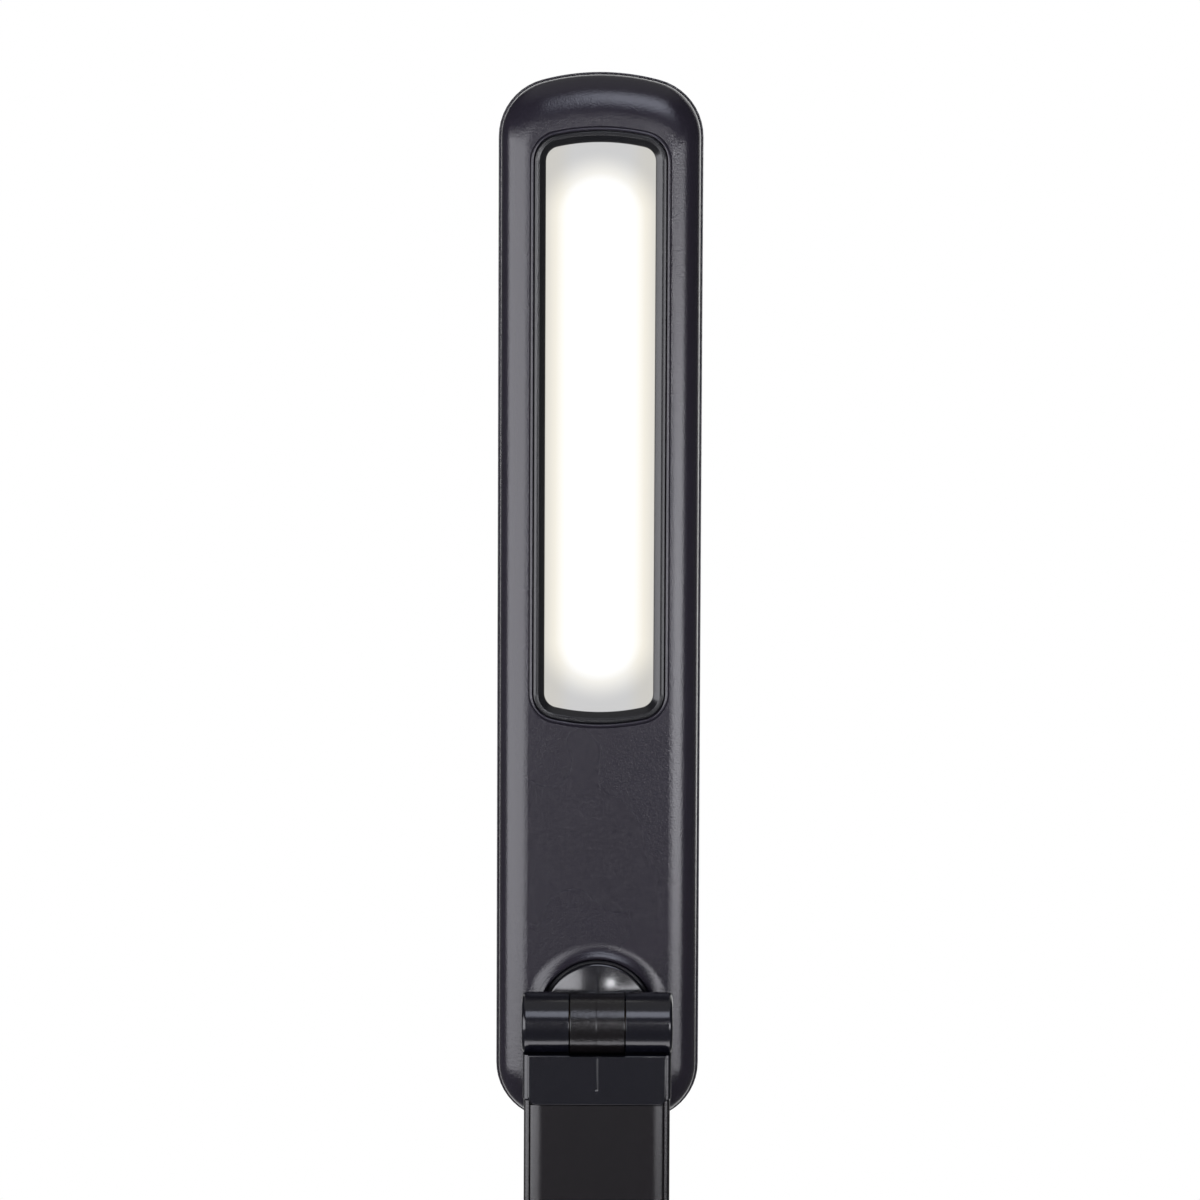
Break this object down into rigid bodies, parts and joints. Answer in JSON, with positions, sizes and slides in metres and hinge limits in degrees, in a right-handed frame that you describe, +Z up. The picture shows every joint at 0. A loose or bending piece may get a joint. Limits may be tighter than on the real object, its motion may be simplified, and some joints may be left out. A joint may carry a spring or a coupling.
{
  "type": "folding LED desk lamp",
  "caption": "Desk lamp with a long LED panel head that tilts and swivels on a flat arm folding over a weighted base.",
  "frame": {"origin": "centre of the lamp's footprint, on the surface that it stands on", "axes": "+Z up along the upright arm, +Y to the back of the base, +X across the lamp; the light faces -Y"},
  "size_m": [0.12, 0.2, 0.5313],
  "materials": {
    "shell_plastic": "fine spark-eroded texture, dark violet grey",
    "hinge_plastic": "satin moulded, near black",
    "arm_plastic": "fine texture, near black",
    "frame_plastic": "smooth, near black",
    "diffuser_plastic": "opal, lit",
    "white_plastic": "smooth white",
    "board_metal": "white lacquered",
    "board_green": "solder mask",
    "led": "phosphor",
    "switch_plastic": "smooth black",
    "wire_black": "insulation",
    "wire_red": "insulation",
    "pin_steel": "ground",
    "screw_steel": "zinc plated",
    "ballast_steel": "sheared plate",
    "friction_bronze": "lapped",
    "contact_metal": "plated",
    "foot_rubber": "matt",
    "base_plastic": "fine spark-eroded texture",
    "plate_plastic": "moulded",
    "button_plastic": "smooth"
  },
  "bodies": {
    "base": {"hinge_pedestal": "hinge_plastic", "pedestal_screws": "screw_steel", "lower_hinge_pin": "pin_steel", "lower_pin_covers": "hinge_plastic", "lower_friction_washers": "friction_bronze", "base_top_shell": "base_plastic", "base_bottom_plate": "plate_plastic", "base_feet": "foot_rubber", "base_screws": "screw_steel", "ballast_plate": "ballast_steel", "control_board": "board_green", "board_screws": "screw_steel", "tact_switches": "switch_plastic", "dc_jack": "switch_plastic", "dc_jack_pin": "contact_metal", "supply_wires": "wire_black"},
    "arm": {"lower_hinge_cap": "hinge_plastic", "lower_cap_screws": "screw_steel", "arm_channel": "arm_plastic", "arm_front_cover": "arm_plastic", "arm_wires": "wire_black", "upper_hinge_cap": "hinge_plastic", "upper_hinge_pin": "pin_steel", "upper_pin_covers": "hinge_plastic", "upper_friction_washers": "friction_bronze", "upper_cap_screws": "screw_steel"},
    "knuckle": {"swivel_knuckle": "hinge_plastic", "swivel_washer": "pin_steel", "swivel_clip": "pin_steel"},
    "head": {"head_front_shell": "shell_plastic", "head_rear_shell": "shell_plastic", "window_frame": "frame_plastic", "diffuser": "diffuser_plastic", "reflector_tray": "white_plastic", "tray_screws": "screw_steel", "led_board": "board_metal", "led_chips": "led", "head_wires": "wire_red"},
    "power": {"power_button": "button_plastic"},
    "dimmer_down": {"dimmer_down_button": "button_plastic"},
    "dimmer_up": {"dimmer_up_button": "button_plastic"}
  },
  "joints": [
    {"name": "arm_fold", "type": "hinge", "parent": "base", "child": "arm", "pos_m": [0, 0.068, 0.0447], "axis": [1, 0, 0], "range_deg": [-30, 90]},
    {"name": "head_tilt", "type": "hinge", "parent": "arm", "child": "knuckle", "pos_m": [0, 0.068, 0.2997], "axis": [1, 0, 0], "range_deg": [0, 180]},
    {"name": "head_swivel", "type": "hinge", "parent": "knuckle", "child": "head", "pos_m": [0, 0.0772, 0.2997], "axis": [0, 1, 0], "range_deg": [-90, 90]},
    {"name": "power_press", "type": "slide", "parent": "base", "child": "power", "axis": [0, 0, -1], "range_m": [0, 0.0008], "stiffness_N_per_m": 400, "springref_m": -0.002},
    {"name": "dimmer_down_press", "type": "slide", "parent": "base", "child": "dimmer_down", "axis": [0, 0, -1], "range_m": [0, 0.0008], "stiffness_N_per_m": 400, "springref_m": -0.002},
    {"name": "dimmer_up_press", "type": "slide", "parent": "base", "child": "dimmer_up", "axis": [0, 0, -1], "range_m": [0, 0.0008], "stiffness_N_per_m": 400, "springref_m": -0.002}
  ]
}
